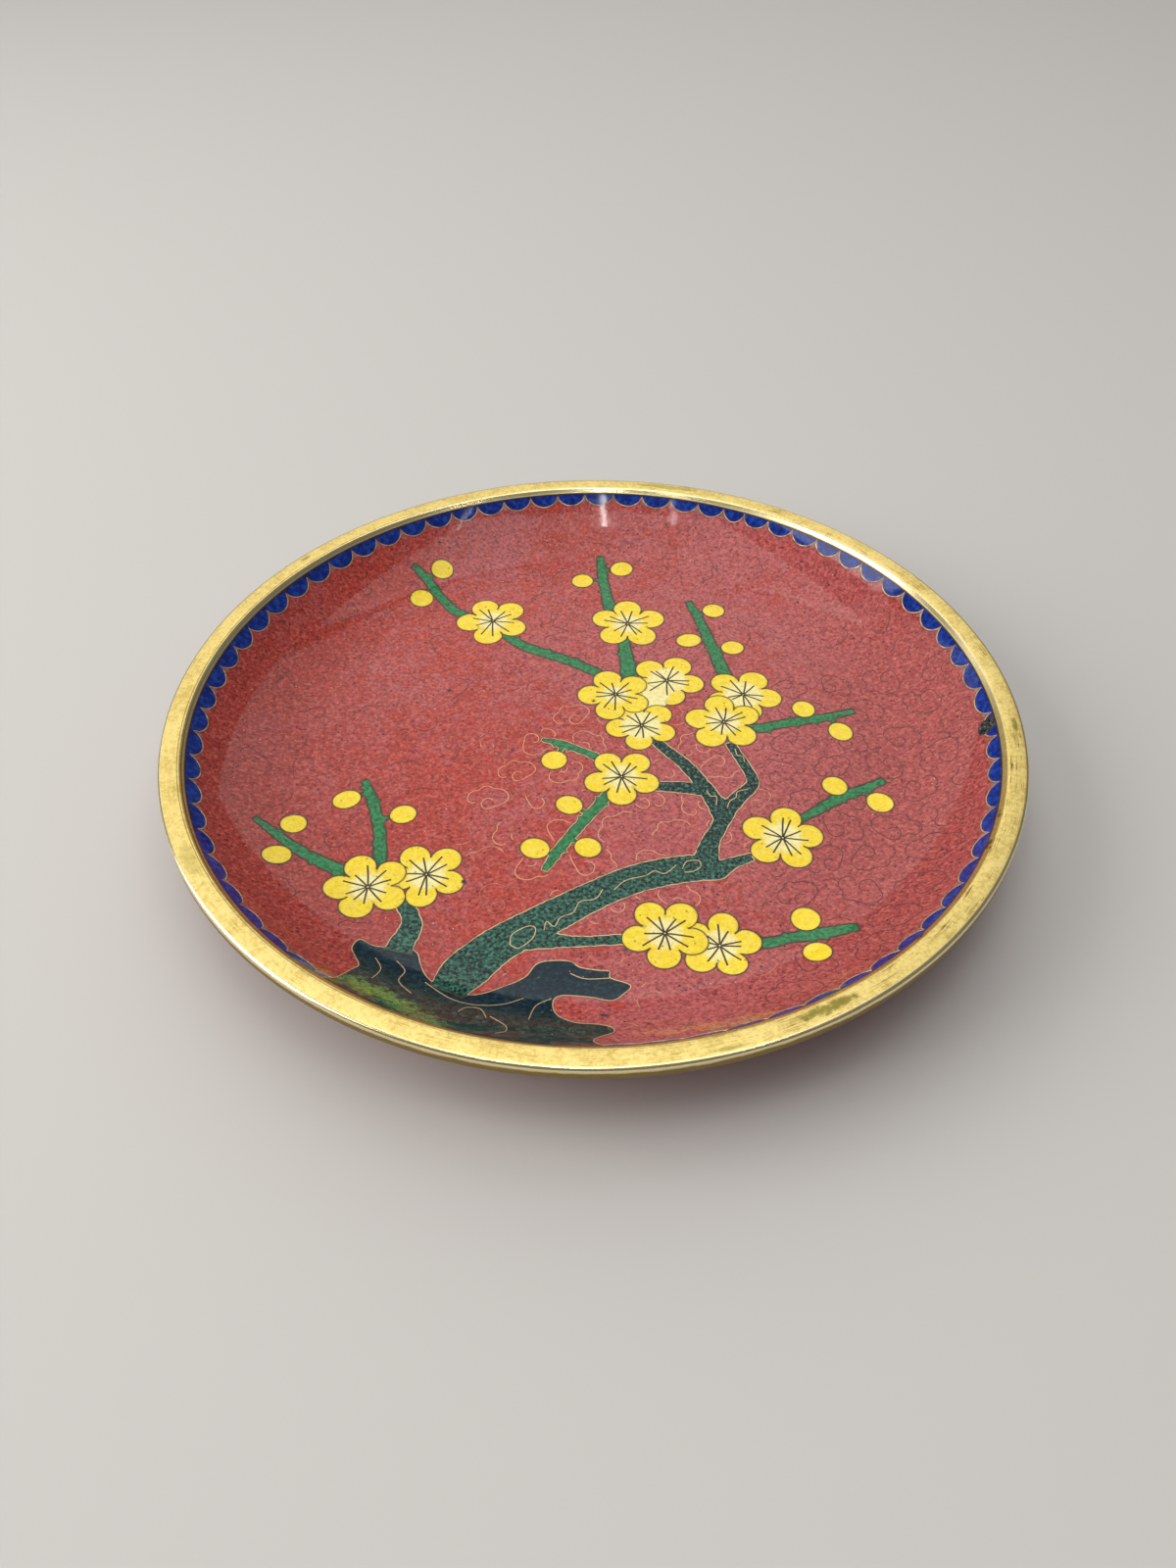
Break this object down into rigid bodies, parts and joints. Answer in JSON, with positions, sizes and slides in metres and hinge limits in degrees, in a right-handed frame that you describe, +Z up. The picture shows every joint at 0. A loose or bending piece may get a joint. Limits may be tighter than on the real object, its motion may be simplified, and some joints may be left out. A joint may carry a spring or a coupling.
{
  "type": "cloisonne tray",
  "caption": "Small round cloisonne dish: enamelled well with a plum branch, scalloped edge, brass rim band and brass foot ring; holds or displays small things.",
  "frame": {"origin": "middle of the circle that the foot ring stands on", "axes": "+Z up along the dish's axis; -Y towards the side nearest the viewer, where the rock of the picture is; +X to the viewer's right"},
  "size_m": [0.15, 0.15, 0.0177],
  "materials": {
    "enamel": "brick red enamel on copper, semi-gloss, finely pitted",
    "rim_brass": "satin, finely scratched, green patina in places",
    "foot_brass": "satin, worn"
  },
  "bodies": {
    "root": {"enamelled_dish": "enamel", "rim_band": "rim_brass", "foot_ring": "foot_brass"}
  },
  "joints": []
}
